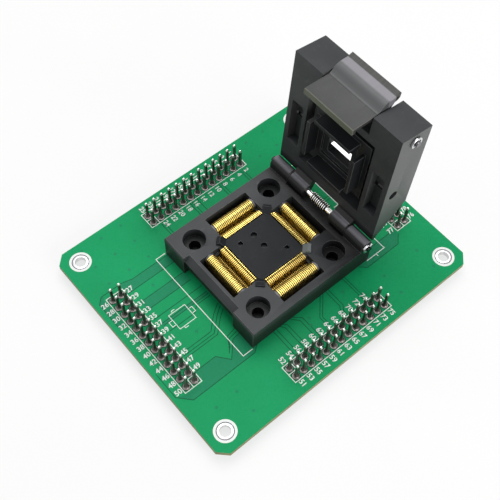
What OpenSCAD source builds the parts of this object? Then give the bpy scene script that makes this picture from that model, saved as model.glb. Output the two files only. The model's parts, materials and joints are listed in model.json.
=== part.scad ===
// Clamshell test socket for a 100-lead, 0.5 mm pitch quad flat package, on its adapter board.
// X runs from the latch side (front) to the hinge side (rear), Y across, Z up.
// The origin is under the middle of the board, on the face that the header strips stand on.
// The lid is drawn open. Its own pieces are drawn with local Z along the lid and local X outward.

/* [Board] */
// Length of the adapter board, front to rear
board_length = 85; // [84:1:95]
// Width of the adapter board
board_width = 70; // [69:1:80]
// Thickness of the adapter board
board_thick = 1.6; // [1.2:0.2:2]
// Size of the chamfer at each board corner
board_corner = 2.5; // [1:0.5:3]
// Distance between mounting holes along X
hole_pitch_x = 75; // [75:1:76]
// Distance between mounting holes along Y
hole_pitch_y = 60; // [60:1:61]
// Diameter of a mounting hole
hole_bore = 3.2; // [2.6:0.1:3.4]

/* [Headers] */
// Pitch of the header pins
pin_pitch = 2.54; // [2.54]
// Columns of pins in one header
pin_columns = 13; // [9:1:13]
// Side of a square header pin
pin_side = 0.64; // [0.6:0.02:0.7]
// Height of the pins above the board
pin_rise = 6.2; // [5:0.1:8]
// Height of a header's plastic strip, under the board
strip_height = 2.54; // [2.54:0.1:3]
// Distance of the front and rear headers from the middle
header_x = 36.35; // [36:0.05:37]
// Distance of the side headers from the middle
header_y = 29; // [28.8:0.1:30]
// Diameter of a plated pin hole in the board
pin_bore = 1.02; // [1:0.02:1.1]

/* [Socket base] */
// Width of the base housing
base_width = 35.5; // [35:0.5:37]
// Height of the base housing above the board
base_height = 7.4; // [7.4:0.1:7.6]
// Distance of the front face from the middle
base_front = 18.6; // [18.6:0.1:19]
// Distance of the screw pockets from the middle, along X and Y
pocket_reach = 12.7; // [12.5:0.1:12.9]
// Diameter of a screw pocket
pocket_bore = 6.2; // [5.6:0.1:6.2]
// Depth of a screw pocket
pocket_depth = 3.2; // [2:0.1:4]
// Diameter of the hole below a screw pocket
screw_bore = 3.2; // [2.2:0.1:3.2]

/* [Contacts] */
// Contacts on each side
contact_count = 25; // [15:2:25]
// Pitch of the contacts
contact_pitch = 0.5; // [0.5]
// Thickness of one contact, along its row
contact_thick = 0.26; // [0.2:0.01:0.3]
// Width of the formed strip that a contact is made of
contact_strip = 0.36; // [0.3:0.01:0.4]

/* [Seating plate] */
// Side of the seating plate
seat_side = 15; // [14.6:0.1:15]
// Thickness of the seating plate
seat_thick = 1.2; // [1:0.1:1.4]

/* [Hinge] */
// Distance of the hinge axis behind the middle
hinge_x = 19.4; // [19.4:0.1:19.6]
// Height of the hinge axis above the board
hinge_rise = 8.6; // [8.6:0.1:8.8]
// Radius of the hinge knuckles
knuckle_r = 1.9; // [1.7:0.1:1.9]
// Diameter of the hinge pin, the latch pin and the plate pin
pin_d = 1.5; // [1.4:0.1:1.5]
// How far the open lid leans back from upright
lid_lean = 3.8; // [0:0.1:5]

/* [Lid] */
// How far each side of the lid stays inside the base's sides
lid_inset = 0.1; // [0:0.05:0.3]
// Distance of the lid's free end from the hinge axis
lid_reach = 39.9; // [39.5:0.1:40.5]
// Height of the lid's inner face over the hinge axis, when closed
lid_inner = 1.4; // [1.4:0.1:1.6]
// Thickness of the lid
lid_thick = 9.8; // [9.8:0.1:10.5]

/* [Latch] */
// Width of the latch lever
latch_width = 16; // [14:0.5:16]
// Distance of the latch pin from the hinge axis, along the lid
latch_pin_reach = 37; // [36.9:0.1:37.1]
// Distance of the latch pin from the hinge axis, through the lid
latch_pin_depth = 6.2; // [6.1:0.1:6.3]
// Length of the latch lever from its pin to the tip of the hook
latch_reach = 10.75; // [10.6:0.05:10.8]
// Thickness of the latch lever's plate
latch_plate = 1; // [0.9:0.1:1.1]
// Height of the thumb rest over the latch pin
thumb_rise = 4.5; // [4.3:0.1:4.6]

/* [Hidden] */
$fn = 48;

fit = 0.05;                    // radial clearance of a pin in its bore
gap = 0.1;                     // clearance between knuckles that turn past each other
board_top = strip_height + board_thick;
strip_length = pin_columns * pin_pitch;
strip_width = 2 * pin_pitch;
pin_low = 0.3;                 // how far a pin's lower end stays above the strip's underside

row_half = (contact_count - 1) * contact_pitch / 2 + 0.28;
rib_thick = 0.55;              // plastic rib at each end of a row
well_half = row_half + rib_thick;
lid_width = base_width - 2 * lid_inset;
well_in = seat_side / 2 - 0.05; // inner and outer walls of a contact well, from the middle
well_out = 15.7;
well_floor = 1.6;
arch_mid = 12.6;               // middle and radius of a contact's outer arch
arch_r = 1.45;
arch_rise = 5.75;
tail_slot = 0.55;
loop_r = 0.85;                 // inner loop of a contact, and the knee at its top
loop_low = 4.95;
knee_r = 0.55;
knee_top = 6.75;
tip_rise = 7.02;
tip_x = 7.78;
plate_side = 32;               // tail guide plate, in the underside of the housing
plate_thick = 1;
seat_top = base_height - 0.2;
guide_width = 2.3;             // corner guides of the seating plate, along its diagonals
guide_in = 8.8;
guide_out = 12.2;
press_half = 6.05;             // half the length of a rib that presses on a row of leads
spring_r = 1.1;                // hinge spring: centre of its wire, and its coil along the pin
spring_wire = 0.24;
spring_half = 2.75;
spring_leg = 3.2;              // leg that drops into the base
tang_r = 1.35;                 // leg that runs into the side of a lid knuckle
tang_depth = 1.6;

hinge_z = board_top + hinge_rise;
knuckle_split = 11;            // where base knuckles end and lid knuckles begin
spring_bay = 4.9;              // half the room between the lid knuckles
base_rear = hinge_x + knuckle_r;
lid_outer = lid_inner + lid_thick;
cavity_half = 11;
cavity_low = 9.2;
lip_low = 7;                   // shallow step below the cavity
cavity_high = 32;
cavity_floor = lid_outer - 2.1;
window_side = 7.6;
notch_low = 34.2;              // bottom of the notch that holds the latch lever
notch_half = latch_width / 2 + 0.4;
plate_pin_reach = 18.3;        // pressure plate's pivot, along and through the lid
plate_pin_depth = 4.5;
plate_half = 9.6;
plate_face = 2.7;              // pressure plate's inner and outer faces, through the lid
plate_back = 6.7;
spring_y = 7.6;                 // pressure springs, from the middle of the plate
spring_z = 7.6;
clip_thick = 0.5;
clip_r = 1.65;
groove_r = pin_d / 2 - 0.15;

catch_half = 9.9;              // catch at the front of the base
catch_bottom = 5.3;
catch_edge = base_front - 0.45;
hub_r = 1.75;                  // latch lever: hub round its pin, hook and thumb rest
hook_drop = 0.7;
thumb_reach = 4.1;
thumb_lip = 0.6;

// One formed-strip outline: a centre line thickened to both sides.
function unit(v) = v / norm(v);
function heading(path, i) =
    unit(path[min(i + 1, len(path) - 1)] - path[max(i - 1, 0)]);
function beside(path, i, off) =
    path[i] + off * [-heading(path, i)[1], heading(path, i)[0]];
function ribbon(path, width) = concat(
    [for (i = [0 : len(path) - 1]) beside(path, i, width / 2)],
    [for (i = [len(path) - 1 : -1 : 0]) beside(path, i, -width / 2)]);
function arc(cx, cy, r, from, to, steps) =
    [for (i = [0 : steps]) let (a = from + (to - from) * i / steps) [cx + r * cos(a), cy + r * sin(a)]];

// A round wire along a path of [centre, side direction, second side direction] stations.
module wire(stations, r, sides = 6) {
    count = len(stations);
    points = [for (s = stations) for (k = [0 : sides - 1])
        s[0] + r * (cos(360 * k / sides) * s[1] + sin(360 * k / sides) * s[2])];
    walls = [for (i = [0 : count - 2]) for (k = [0 : sides - 1]) for (half = [0, 1])
        let (n = (k + 1) % sides, a = i * sides, b = (i + 1) * sides)
        half == 0 ? [a + k, b + k, b + n] : [a + k, b + n, a + n]];
    start = [for (k = [0 : sides - 1]) k];
    finish = [for (k = [sides - 1 : -1 : 0]) (count - 1) * sides + k];
    polyhedron(points, concat(walls, [start, finish]));
}

// Stations of a coil about local Z that starts at angle a0.
function coil(r, length, turns, a0, steps) =
    [for (i = [0 : turns * steps]) let (a = a0 + 360 * i / steps)
        [[r * cos(a), r * sin(a), length * i / (turns * steps)], [cos(a), sin(a), 0], [0, 0, 1]]];

// Lays children drawn in the lid's own directions onto the open lid.
module on_lid() {
    translate([hinge_x, 0, hinge_z]) rotate([0, lid_lean, 0]) children();
}

// Extrudes an X-Z outline across Y, centred.
module across(width) {
    rotate([90, 0, 0]) linear_extrude(width, center = true) children();
}

// A cylinder along Y between two places.
module rod(y0, y1, r) {
    translate([0, y1, 0]) rotate([90, 0, 0]) cylinder(h = y1 - y0, r = r);
}

// Repeats a row that is drawn on the front side, for the other three sides.
module toward(side) {
    rotate([0, 0, side]) children();
}

module header_places(rise = 0) {
    for (i = [0 : pin_columns - 1]) for (j = [-0.5, 0.5])
        translate([(i - (pin_columns - 1) / 2) * pin_pitch, j * pin_pitch, rise]) children();
}

module at_header(side) {
    along_y = side == "front" || side == "rear";
    sign = side == "front" || side == "right" ? -1 : 1;
    translate(along_y ? [sign * header_x, 0, 0] : [0, sign * header_y, 0])
        rotate([0, 0, along_y ? 90 : 0]) children();
}

module circuit_board() {
    half = [board_length / 2, board_width / 2];
    c = board_corner;
    color([0.09, 0.55, 0.33]) difference() {
        translate([0, 0, strip_height]) linear_extrude(board_thick) polygon([
            [-half[0] + c, -half[1]], [half[0] - c, -half[1]], [half[0], -half[1] + c],
            [half[0], half[1] - c], [half[0] - c, half[1]], [-half[0] + c, half[1]],
            [-half[0], half[1] - c], [-half[0], -half[1] + c]]);
        for (x = [-1, 1]) for (y = [-1, 1])
            translate([x * hole_pitch_x / 2, y * hole_pitch_y / 2, strip_height - 1])
                cylinder(h = board_thick + 2, d = hole_bore);
        for (side = ["front", "rear", "left", "right"])
            at_header(side) header_places(strip_height - 1) cylinder(h = board_thick + 2, d = pin_bore, $fn = 16);
    }
}

module header_strip(side) {
    color([0.07, 0.07, 0.08]) at_header(side) difference() {
        translate([-strip_length / 2, -strip_width / 2, 0]) cube([strip_length, strip_width, strip_height]);
        header_places(-1) translate([-pin_side / 2, -pin_side / 2, 0])
            cube([pin_side, pin_side, strip_height + 2]);
        for (i = [1 : pin_columns - 1]) for (y = [-1, 1])
            translate([(i - pin_columns / 2) * pin_pitch, y * strip_width / 2, -1])
                rotate(45) translate([-0.3, -0.3, 0]) cube([0.6, 0.6, strip_height + 2]);
    }
}

module header_pins(side) {
    color([0.75, 0.74, 0.7]) at_header(side) header_places(pin_low)
        translate([-pin_side / 2, -pin_side / 2, 0])
            cube([pin_side, pin_side, board_top + pin_rise - pin_low]);
}

// Channels that take the seating plate's corner guides.
module guide_channels() {
    for (side = [45 : 90 : 315]) toward(side)
        translate([0, -guide_width / 2 - gap, seat_top - seat_thick])
            cube([guide_out + gap, guide_width + 2 * gap, base_height]);
}

// Front-side profile of the housing: catch lip, undercut and lower wall.
module catch_cut() {
    across(2 * catch_half) polygon([
        [-base_front - 1, base_height + 1], [-16.5, base_height + 1], [-16.5, base_height],
        [-catch_edge, base_height - 1.5], [-catch_edge, catch_bottom], [-17.1, catch_bottom],
        [-17.1, 3.4], [-17.5, 3.2], [-17.5, 1.5], [-17, 1.2], [-17, -1], [-base_front - 1, -1]]);
}

// Shoulder that closes each end of a contact well, shaped like the contacts' arch.
module end_rib() {
    across(rib_thick) polygon(concat(
        [[-arch_mid - arch_r, well_floor]],
        arc(-arch_mid, arch_rise, arch_r, 180, 0, 12),
        [[-arch_mid + arch_r, 5], [-9.4, 5.4], [-9.2, 6.6], [-well_in, 6.8], [-well_in, well_floor]]));
}

module well() {
    translate([-well_out, -well_half, well_floor])
        cube([well_out - well_in, 2 * well_half, base_height]);
    translate([-arch_mid - arch_r - tail_slot / 2, -row_half, 0])
        cube([tail_slot, 2 * row_half, well_floor + 1]);
}

module base_housing() {
    color([0.13, 0.13, 0.14]) translate([0, 0, board_top]) {
        difference() {
            union() {
                across(base_width) polygon([
                    [-base_front, 0], [base_rear, 0], [base_rear, base_height],
                    [-base_front + 0.3, base_height], [-base_front, base_height - 0.3]]);
                for (y = [-1, 1]) {
                    length = base_width / 2 - knuckle_split;
                    translate([hinge_x, y * (knuckle_split + length / 2), 0]) {
                        translate([0, 0, hinge_rise]) rotate([90, 0, 0])
                            cylinder(h = length, r = knuckle_r, center = true);
                        translate([-knuckle_r, -length / 2, base_height - 1])
                            cube([2 * knuckle_r, length, hinge_rise - base_height + 1]);
                    }
                }
            }
            catch_cut();
            for (side = [0, 90, 180, 270]) toward(side) well();
            translate([-plate_side / 2, -plate_side / 2, -1])
                cube([plate_side, plate_side, plate_thick + 1]);
            translate([-seat_side / 2, -seat_side / 2, seat_top - seat_thick])
                cube([seat_side, seat_side, base_height]);
            guide_channels();
            for (x = [-1, 1]) for (y = [-1, 1])
                translate([x * pocket_reach, y * pocket_reach, 0]) {
                    translate([0, 0, base_height - pocket_depth]) cylinder(h = 9, d = pocket_bore);
                    translate([0, 0, -1]) cylinder(h = 9, d = screw_bore);
                }
            translate([hinge_x - knuckle_r - 0.4, -knuckle_split, hinge_rise - knuckle_r - 0.25])
                cube([9, 2 * knuckle_split, 9]);
            translate([hinge_x + spring_r, spring_half, hinge_rise - spring_leg - gap])
                cylinder(h = 9, r = spring_wire + fit);
            translate([hinge_x, 0, hinge_rise]) rod(-base_width, base_width, pin_d / 2 + fit);
        }
        difference() {
            for (side = [0, 90, 180, 270]) toward(side) for (y = [-1, 1])
                translate([0, y * (row_half + rib_thick / 2), 0]) end_rib();
            guide_channels();
        }
    }
}

module tail_guide_plate() {
    color([0.2, 0.18, 0.15]) translate([0, 0, board_top]) difference() {
        translate([-plate_side / 2 + gap, -plate_side / 2 + gap, 0])
            cube([plate_side - 2 * gap, plate_side - 2 * gap, plate_thick]);
        for (side = [0, 90, 180, 270]) toward(side)
            translate([-arch_mid - arch_r - tail_slot / 2, -row_half, -1])
                cube([tail_slot, 2 * row_half, plate_thick + 2]);
    }
}

// Corner block that steers a package onto the plate, sloping down to the middle.
module corner_guide() {
    rotate([0, 0, 45]) across(guide_width) polygon([
        [guide_in, seat_top - seat_thick], [guide_out, seat_top - seat_thick],
        [guide_out, seat_top + 0.7], [guide_out - 0.9, seat_top + 1.2], [guide_in + 1.1, seat_top]]);
}

module seating_plate() {
    half = seat_side / 2 - gap;
    color([0.2, 0.2, 0.22]) translate([0, 0, board_top]) {
        difference() {
            translate([0, 0, seat_top - seat_thick]) linear_extrude(seat_thick) polygon([
                [-half, 1 - half], [1 - half, -half], [half - 1, -half], [half, 1 - half],
                [half, half - 1], [half - 1, half], [1 - half, half], [-half, half - 1]]);
            for (y = [0, 4.1]) translate([0.1, y, 0]) cylinder(h = 9, d = 1.8);
            for (s = [-1, 1]) translate([s * 4.25 - 0.6, -s * 4.25 - 0.6, 0]) cube([1.2, 1.2, 9]);
        }
        for (side = [0, 90, 180, 270]) toward(side) corner_guide();
    }
}

// Centre line of one contact: solder tail, outer arch, inner loop, knee and tip.
function contact_path() = let (
        loop_x = -arch_mid + arch_r + loop_r,
        knee_x = loop_x + loop_r + knee_r,
        step = tip_rise - knee_top) concat(
    [[-arch_mid - arch_r, 0], [-arch_mid - arch_r, arch_rise - arch_r / 2]],
    arc(-arch_mid, arch_rise, arch_r, 180, 0, 8),
    arc(loop_x, loop_low, loop_r, 180, 360, 6),
    arc(knee_x, knee_top - knee_r, knee_r, 180, 90, 4),
    [[-tip_x - 2 * step, knee_top], [-tip_x - step, tip_rise], [-tip_x, tip_rise]]);

module contacts(side) {
    color([0.85, 0.68, 0.25]) translate([0, 0, board_top]) toward(side)
        for (i = [0 : contact_count - 1])
            translate([0, (i - (contact_count - 1) / 2) * contact_pitch, 0])
                across(contact_thick) polygon(ribbon(contact_path(), contact_strip));
}

// A steel pin along Y with a clip groove near its right-hand end.
module grooved_pin(y0, y1, r) {
    groove = y0 + 0.45;
    rod(groove + clip_thick + 0.06, y1, r);
    rod(groove - 0.02, groove + clip_thick + 0.08, groove_r);
    rod(y0, groove, r);
}

module pin_clip(y0) {
    color([0.8, 0.8, 0.82]) translate([0, y0 + 0.45 + 0.03 + clip_thick, 0]) rotate([90, 0, 0])
        linear_extrude(clip_thick) difference() {
            circle(r = clip_r);
            circle(r = groove_r + 0.02);
            translate([0, -0.45]) square([clip_r + 1, 0.9]);
        }
}

hinge_pin_start = -base_width / 2 - 1.15;
latch_pin_start = -lid_width / 2 - 1.15;

module hinge_pin() {
    color([0.8, 0.8, 0.82]) translate([hinge_x, 0, hinge_z])
        grooved_pin(hinge_pin_start, base_width / 2 + 0.9, pin_d / 2);
}

module hinge_pin_clip() {
    translate([hinge_x, 0, hinge_z]) rotate([0, -60, 0]) pin_clip(hinge_pin_start);
}

// Torsion spring about the hinge pin: one leg drops into the base, the other runs into a lid knuckle.
module hinge_spring() {
    turns = 9.25;
    steps = 16;
    length = 2 * spring_half;
    up = [0, 1, 0];
    color([0.8, 0.8, 0.82]) translate([hinge_x, spring_half, hinge_z]) rotate([90, 0, 0])
        wire(concat(
            [[[spring_r, -spring_leg, 0], [1, 0, 0], [0, 0, 1]]],
            coil(spring_r, length, turns, 0, steps),
            [[[-spring_wire, (spring_r + tang_r) / 2, length + spring_wire], up, unit([1, 0, 1])],
             [[-1.5 * spring_wire, tang_r, length + 2.5 * spring_wire], up, [1, 0, 0]],
             [[-1.5 * spring_wire, tang_r, spring_half + spring_bay + tang_depth], up, [1, 0, 0]]]),
            spring_wire);
}

module lid_frame() {
    color([0.13, 0.13, 0.14]) on_lid() difference() {
        union() {
            across(lid_width) polygon([
                [lid_inner, 0.9], [lid_inner, lid_reach], [lid_outer, lid_reach - 0.7],
                [lid_outer, 10.8], [lid_inner + 0.3, 0.9]]);
            for (y = [-1, 1]) {
                length = knuckle_split - gap - spring_bay;
                translate([0, y * (spring_bay + length / 2), 0]) {
                    rotate([90, 0, 0]) cylinder(h = length, r = knuckle_r, center = true);
                    across(length) polygon([
                        [0, -0.6], [lid_inner + 0.5, -0.3], [lid_inner + 2, 3], [lid_inner, 3], [0, knuckle_r - 0.1]]);
                }
            }
        }
        // Room for the spring between the knuckles, and for the base knuckles outside them.
        translate([-9, -spring_bay, -9]) cube([30, 2 * spring_bay, 12.5]);
        for (y = [-1, 1])
            translate([0, y * (knuckle_split - gap + 10), 0]) rotate([90, 0, 0])
                cylinder(h = 20, r = knuckle_r + 0.35, center = true);
        rod(-lid_width, lid_width, pin_d / 2 + fit);
        rotate([0, -lid_lean, 0]) translate([-1.5 * spring_wire, 0, tang_r])
            rod(-spring_bay - tang_depth - gap, 0, spring_wire + fit);
        // Cavity for the pressure plate, with the window through the lid's roof.
        translate([-1, -cavity_half, cavity_low])
            cube([cavity_floor + 1, 2 * cavity_half, cavity_high - cavity_low]);
        translate([-1, -cavity_half, lip_low]) cube([6.2, 2 * cavity_half, 9]);
        translate([0, -window_side / 2, hinge_x - window_side / 2])
            cube([lid_outer + 1, window_side, window_side]);
        // Blind pockets beside the cavity.
        for (y = [-1, 1]) translate([-1, y * 14.2 - 2, 10]) cube([5, 4, 14.6]);
        // Notch and bore of the latch lever.
        translate([-1, -notch_half, notch_low]) cube([lid_outer + 2, 2 * notch_half, 9]);
        translate([latch_pin_depth, 0, latch_pin_reach]) rod(-lid_width, lid_width, pin_d / 2 + fit);
        // Cross bore of the plate pin, wider where it sits deep in the wall.
        translate([plate_pin_depth, 0, plate_pin_reach]) {
            rod(-lid_width, lid_width, pin_d / 2 + fit);
            for (y = [-1, 1]) translate([0, y * lid_width / 2, 0]) rod(-1.3, 1.3, 1.3);
        }
        // Relief in the outer face.
        translate([lid_outer - 0.8, -7, 12.4]) cube([2, 14, 14]);
    }
}

module pressure_plate() {
    color([0.1, 0.1, 0.11]) on_lid() difference() {
        union() {
            translate([plate_face, -plate_half, hinge_x - plate_half])
                cube([plate_back - plate_face, 2 * plate_half, 2 * plate_half]);
            for (side = [0, 90, 180, 270])
                translate([0, 0, hinge_x]) rotate([side, 0, 0]) translate([-1.1, -press_half, 7.25])
                    cube([plate_face + 1.2, 2 * press_half, 1.05]);
        }
        translate([-2, -window_side / 2, hinge_x - window_side / 2])
            cube([12, window_side, window_side]);
        translate([plate_face - 0.01, -5.6, hinge_x - 5.6]) cube([0.61, 11.2, 11.2]);
        translate([plate_pin_depth, 0, plate_pin_reach]) rod(-20, 20, pin_d / 2 + fit);
        for (y = [-1, 1]) for (s = [-1, 1])
            translate([plate_back - 0.6, y * spring_y, hinge_x + s * spring_z]) rotate([0, 90, 0])
                cylinder(h = 2, r = 1.25);
    }
}

module pressure_plate_pin() {
    color([0.8, 0.8, 0.82]) on_lid() translate([plate_pin_depth, 0, plate_pin_reach])
        rod(-15.8, 15.8, pin_d / 2);
}

module pressure_springs() {
    color([0.8, 0.8, 0.82]) on_lid() for (y = [-1, 1]) for (s = [-1, 1])
        translate([plate_back - 0.6 + 0.17, y * spring_y, hinge_x + s * spring_z]) rotate([0, 90, 0])
            wire(coil(0.85, cavity_floor - plate_back + 0.6 - 0.34, 3, 0, 12), 0.15, 5);
}

// Side outline of the latch lever: flat hook plate, hub round the pin and hooked thumb rest.
module latch_lever() {
    top = thumb_rise;
    under = top / 2 - latch_plate;       // inner face of the flat plate, over the pin
    color([0.3, 0.3, 0.31]) on_lid() translate([latch_pin_depth, 0, latch_pin_reach]) difference() {
        across(latch_width) polygon(concat(
            [[-latch_reach, under - hook_drop], [-latch_reach, under + latch_plate]],
            [[-hub_r * 1.77, under + latch_plate * 1.1], [-hub_r * 1.31, top * 0.6],
             [-hub_r * 0.97, top * 0.78], [-hub_r * 0.57, top * 0.92], [0, top * 0.99],
             [thumb_reach * 0.55, top], [thumb_reach * 0.97, top + thumb_lip], [thumb_reach, top + thumb_lip * 0.8],
             [thumb_reach * 0.97, top * 0.8], [thumb_reach * 0.83, top * 0.7],
             [thumb_reach * 0.6, top * 0.64]],
            arc(0, 0, hub_r, 40, -150, 12),
            [[-hub_r * 1.5, under - hook_drop], [-hub_r * 1.8, under],
             [-latch_reach + latch_plate * 1.2, under],
             [-latch_reach + latch_plate * 1.2, under - hook_drop]]));
        rod(-latch_width, latch_width, pin_d / 2 + fit);
    }
}

module latch_pin() {
    color([0.8, 0.8, 0.82]) on_lid() translate([latch_pin_depth, 0, latch_pin_reach])
        grooved_pin(latch_pin_start, lid_width / 2 + 0.2, pin_d / 2);
}

module latch_pin_clip() {
    on_lid() translate([latch_pin_depth, 0, latch_pin_reach]) rotate([0, 110, 0])
        pin_clip(latch_pin_start);
}

// Push spring between the notch and the lever's thumb rest.
module latch_spring() {
    color([0.8, 0.8, 0.82]) on_lid() translate([9.1, 0, notch_low + 0.2])
        wire(coil(0.8, 39.8 - notch_low - 0.5, 5, 0, 12), 0.16, 5);
}

circuit_board();
header_strip("front");  // header_strip_front
header_strip("rear");  // header_strip_rear
header_strip("left");  // header_strip_left
header_strip("right");  // header_strip_right
header_pins("front");  // header_pins_front
header_pins("rear");  // header_pins_rear
header_pins("left");  // header_pins_left
header_pins("right");  // header_pins_right
base_housing();
tail_guide_plate();
seating_plate();
contacts(0);  // contacts_front
contacts(180);  // contacts_rear
contacts(270);  // contacts_left
contacts(90);  // contacts_right
hinge_pin();
hinge_pin_clip();
hinge_spring();
lid_frame();
pressure_plate();
pressure_plate_pin();
pressure_springs();
latch_lever();
latch_pin();
latch_pin_clip();
latch_spring();
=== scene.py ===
# Clamshell test socket on its adapter board: finishes, print, solder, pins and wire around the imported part.
# X runs from the latch side to the hinge side, Y across, Z up, in metres.
import json
import math

import bmesh
import bpy
import numpy as np
from mathutils import Matrix, Vector


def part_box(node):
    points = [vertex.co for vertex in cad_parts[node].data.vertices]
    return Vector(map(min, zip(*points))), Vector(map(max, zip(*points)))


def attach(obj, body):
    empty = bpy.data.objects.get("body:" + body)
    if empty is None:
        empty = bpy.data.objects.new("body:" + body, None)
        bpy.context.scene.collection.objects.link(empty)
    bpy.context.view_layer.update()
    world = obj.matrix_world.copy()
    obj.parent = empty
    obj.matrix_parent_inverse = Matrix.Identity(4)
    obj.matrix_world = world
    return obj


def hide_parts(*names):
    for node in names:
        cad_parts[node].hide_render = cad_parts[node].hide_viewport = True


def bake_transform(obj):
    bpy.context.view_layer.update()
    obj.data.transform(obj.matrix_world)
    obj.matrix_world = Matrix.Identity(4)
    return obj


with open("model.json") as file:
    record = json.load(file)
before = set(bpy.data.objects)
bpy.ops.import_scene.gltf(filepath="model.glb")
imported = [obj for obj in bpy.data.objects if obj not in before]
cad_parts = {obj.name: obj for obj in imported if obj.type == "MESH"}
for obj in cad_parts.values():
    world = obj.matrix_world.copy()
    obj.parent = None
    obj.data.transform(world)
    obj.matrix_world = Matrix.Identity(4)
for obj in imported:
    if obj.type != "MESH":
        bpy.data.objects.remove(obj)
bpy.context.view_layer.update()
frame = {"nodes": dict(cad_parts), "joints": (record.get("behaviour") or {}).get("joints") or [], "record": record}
nodes = frame["nodes"]
mm = 0.001
print("part loaded:", len(nodes), "nodes")

boardUnder, boardTop = (corner.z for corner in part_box("circuit_board"))
pinLow, pinTop = (corner.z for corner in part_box("header_pins_front"))
sides = ("front", "rear", "left", "right")
joints = {joint["name"]: joint for joint in frame["joints"]}
hingeAxis = np.array(joints["lid_hinge"]["pos_m"])
latchAxis = np.array(joints["latch_pivot"]["pos_m"])
lean = math.radians(3.8)  # the open lid's lean past upright
alongLid = np.array((math.sin(lean), 0, math.cos(lean)))
outOfLid = np.array((math.cos(lean), 0, -math.sin(lean)))


def onLid(out, across, along):
    # points given by their distances in mm from the hinge axis, out through the lid, across it and along it
    flat = np.multiply.outer(out, outOfLid) + np.multiply.outer(along, alongLid)
    return hingeAxis + flat * mm + np.array((0, across * mm, 0))


camera = {"place": (-80.3, -84.7, 206.2), "forward": (0.3388, 0.3795, -0.8609),
          "up": (0.5493, 0.6631, 0.5085), "lens": 63.5, "sensor": 36, "near": 10}  # mm


def addCamera(c):
    data = bpy.data.cameras.new("camera")
    data.lens = c["lens"]
    data.sensor_width = c["sensor"]
    data.clip_start = c["near"] * mm
    forward = Vector(c["forward"]).normalized()
    right = forward.cross(Vector(c["up"])).normalized()
    up = right.cross(forward)
    turn = Matrix((right, up, -forward)).transposed().to_4x4()
    eye = bpy.data.objects.new("camera", data)
    eye.matrix_world = Matrix.Translation(Vector(c["place"]) * mm) @ turn
    bpy.context.scene.collection.objects.link(eye)
    bpy.context.scene.camera = eye


addCamera(camera)
bpy.context.scene.view_settings.view_transform = "Standard"
print("camera placed")


class Wire:
    # a socket that can be added, multiplied and so on, each step being one Math node
    def __init__(self, finish, node, output=0):
        self.finish, self.node = finish, node
        self.socket = node.outputs[output] if len(node.outputs) else None

    def out(self, output):
        return Wire(self.finish, self.node, output)

    def maths(self, operation, first, second=0.0):
        return self.finish.add("ShaderNodeMath", {"operation": operation}, {0: first, 1: second})

    def __add__(self, other):
        return self.maths("ADD", self, other)

    def __sub__(self, other):
        return self.maths("SUBTRACT", self, other)

    def __mul__(self, other):
        return self.maths("MULTIPLY", self, other)

    def __truediv__(self, other):
        return self.maths("DIVIDE", self, other)

    def __pow__(self, other):
        return self.maths("POWER", self, other)

    def __rsub__(self, other):
        return self.maths("SUBTRACT", other, self)

    def __rtruediv__(self, other):
        return self.maths("DIVIDE", other, self)

    def __rpow__(self, other):
        return self.maths("POWER", other, self)

    __radd__ = __add__
    __rmul__ = __mul__

    def __abs__(self):
        return self.maths("ABSOLUTE", self)

    def sine(self):
        return self.maths("SINE", self)

    def nearestWhole(self):
        return self.maths("ROUND", self)

    def fraction(self):
        return self.maths("FRACT", self)

    def either(self, other):
        return self.maths("MAXIMUM", self, other)  # 1 where one mask or the other is


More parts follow.
